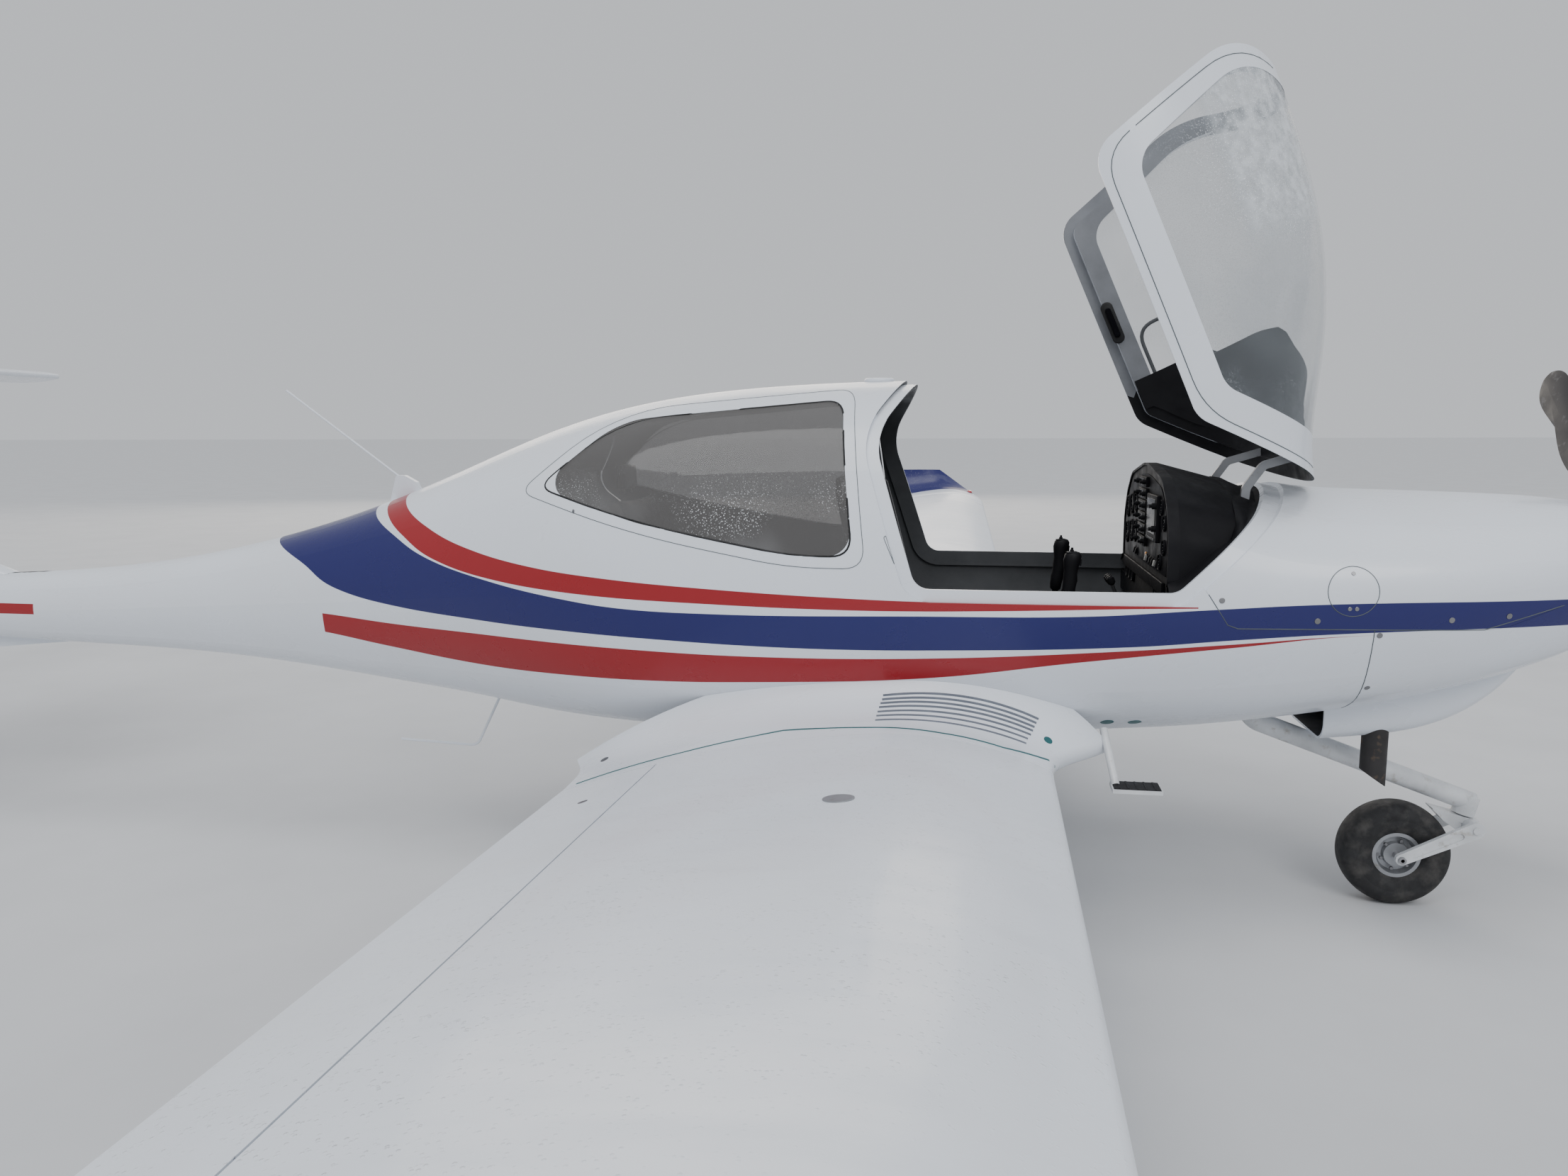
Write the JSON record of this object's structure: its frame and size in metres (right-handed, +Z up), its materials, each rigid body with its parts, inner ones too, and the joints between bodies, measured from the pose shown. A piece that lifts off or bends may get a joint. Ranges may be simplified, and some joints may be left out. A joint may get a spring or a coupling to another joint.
{
  "type": "single-engine light aircraft",
  "caption": "Low-wing light aircraft with a T-tail, fixed tricycle gear, a forward-hinged canopy shown open, a rear cabin door, moving control surfaces and a nose propeller.",
  "frame": {"origin": "on the ground on the centreline under mid-length", "axes": "+X towards the nose, +Y to port, +Z up"},
  "size_m": [8.06, 11.9388, 2.7124],
  "materials": {
    "gelcoat_white": "glossy white gelcoat",
    "acrylic": "clear tinted acrylic",
    "seal_grey": "matte",
    "engine_iron": "cast",
    "bare_steel": "brushed",
    "bare_aluminium": "satin",
    "gear_white": "gloss white paint",
    "blade_paint": "satin black",
    "carpet_grey": "short pile",
    "seat_cloth": "soft upholstery",
    "trim_grey": "matte",
    "trim_black": "matte",
    "tyre_black": "rubber",
    "rim_grey": "satin"
  },
  "bodies": {
    "airframe": {"fuselage_shell": "gelcoat_white", "tail_cone": "gelcoat_white", "firewall": "bare_steel", "rear_window_right": "acrylic", "canopy_coaming": "seal_grey", "cowl_upper": "gelcoat_white", "cowl_lower": "gelcoat_white", "wing_right": "gelcoat_white", "wing_left": "gelcoat_white", "wing_root_fairing_right": "gelcoat_white", "wing_root_fairing_left": "gelcoat_white", "tailplane": "gelcoat_white", "fin": "gelcoat_white", "ventral_fin": "gelcoat_white", "nose_leg": "gear_white", "scoop": "gelcoat_white", "exhaust_pipe": "bare_steel", "engine_block": "engine_iron", "main_leg_right": "gear_white", "main_leg_left": "gear_white", "brake_caliper_right": "bare_aluminium", "brake_caliper_left": "bare_aluminium", "canopy_brackets": "bare_steel", "cabin_floor": "carpet_grey", "front_seats": "seat_cloth", "seat_pedestals": "trim_grey", "rear_seats": "seat_cloth", "centre_console": "trim_black", "control_sticks": "trim_black", "instrument_panel": "trim_black", "glareshield": "trim_black", "boarding_steps": "gear_white", "gps_antenna": "gelcoat_white", "belly_antenna": "bare_steel", "whip_antenna": "trim_black", "belly_drain": "bare_aluminium", "pitot_mast": "bare_aluminium"},
    "canopy": {"canopy_frame": "gelcoat_white", "canopy_glass": "acrylic", "canopy_arms": "bare_steel"},
    "cabin_door": {"rear_door": "gelcoat_white", "rear_door_window": "acrylic"},
    "propeller": {"spinner": "gelcoat_white", "propeller_blades": "blade_paint"},
    "nose_castor": {"castor_yoke": "gear_white", "fork_arms": "gear_white", "nose_axle": "bare_steel"},
    "nose_wheel": {"nose_tyre": "tyre_black", "nose_rim": "rim_grey"},
    "main_wheel_right": {"main_tyre_right": "tyre_black", "main_rim_right": "rim_grey"},
    "main_wheel_left": {"main_tyre_left": "tyre_black", "main_rim_left": "rim_grey"},
    "right_flap": {"flap_right": "gelcoat_white"},
    "left_flap": {"flap_left": "gelcoat_white"},
    "right_aileron": {"aileron_right": "gelcoat_white"},
    "left_aileron": {"aileron_left": "gelcoat_white"},
    "tail_elevator": {"elevator": "gelcoat_white"},
    "tail_rudder": {"rudder": "gelcoat_white"}
  },
  "joints": [
    {"name": "canopy_hinge", "type": "hinge", "parent": "airframe", "child": "canopy", "pos_m": [2.742, 0, 1.36], "axis": [0, 1, 0], "range_deg": [-66.5, 0]},
    {"name": "cabin_door_hinge", "type": "hinge", "parent": "airframe", "child": "cabin_door", "pos_m": [0.62, 0.2275, 1.68962], "axis": [0.9949, 0, 0.1009], "range_deg": [0, 80]},
    {"name": "propeller_spin", "type": "hinge", "parent": "airframe", "child": "propeller", "pos_m": [3.78, 0, 1.18], "axis": [1, 0, 0], "continuous": true},
    {"name": "nose_castor_swivel", "type": "hinge", "parent": "airframe", "child": "nose_castor", "pos_m": [3.362, 0, 0.318], "axis": [0.2419, 0, 0.9703], "range_deg": [-30, 30]},
    {"name": "nose_wheel_spin", "type": "hinge", "parent": "nose_castor", "child": "nose_wheel", "pos_m": [3.15, 0, 0.178], "axis": [0, 1, 0], "continuous": true},
    {"name": "main_wheel_right_spin", "type": "hinge", "parent": "airframe", "child": "main_wheel_right", "pos_m": [1.47, -1.485, 0.222], "axis": [0, 1, 0], "continuous": true},
    {"name": "main_wheel_left_spin", "type": "hinge", "parent": "airframe", "child": "main_wheel_left", "pos_m": [1.47, 1.485, 0.222], "axis": [0, 1, 0], "continuous": true},
    {"name": "right_flap_hinge", "type": "hinge", "parent": "airframe", "child": "right_flap", "pos_m": [0.79432, -0.885, 0.51126], "axis": [0.0564, -0.9939, 0.095], "range_deg": [0, 42]},
    {"name": "left_flap_hinge", "type": "hinge", "parent": "airframe", "child": "left_flap", "pos_m": [0.79432, 0.885, 0.51126], "axis": [-0.0564, -0.9939, -0.095], "range_deg": [0, 42]},
    {"name": "right_aileron_hinge", "type": "hinge", "parent": "airframe", "child": "right_aileron", "pos_m": [0.93213, -3.18, 0.79395], "axis": [0.0556, -0.9943, 0.091], "range_deg": [-25, 15]},
    {"name": "left_aileron_hinge", "type": "hinge", "parent": "airframe", "child": "left_aileron", "pos_m": [0.93213, 3.18, 0.79395], "axis": [-0.0556, -0.9943, -0.091], "range_deg": [-25, 15]},
    {"name": "elevator_hinge", "type": "hinge", "parent": "airframe", "child": "tail_elevator", "pos_m": [-3.8233, 0, 1.928], "axis": [0, -1, 0], "range_deg": [-15.5, 13]},
    {"name": "rudder_hinge", "type": "hinge", "parent": "airframe", "child": "tail_rudder", "pos_m": [-3.712, 0, 0.862], "axis": [-0.0559, 0, 0.9984], "range_deg": [-27, 27]}
  ],
  "couplings": [
    {"joint": "left_flap_hinge", "follows": "right_flap_hinge", "ratio": 1}
  ]
}
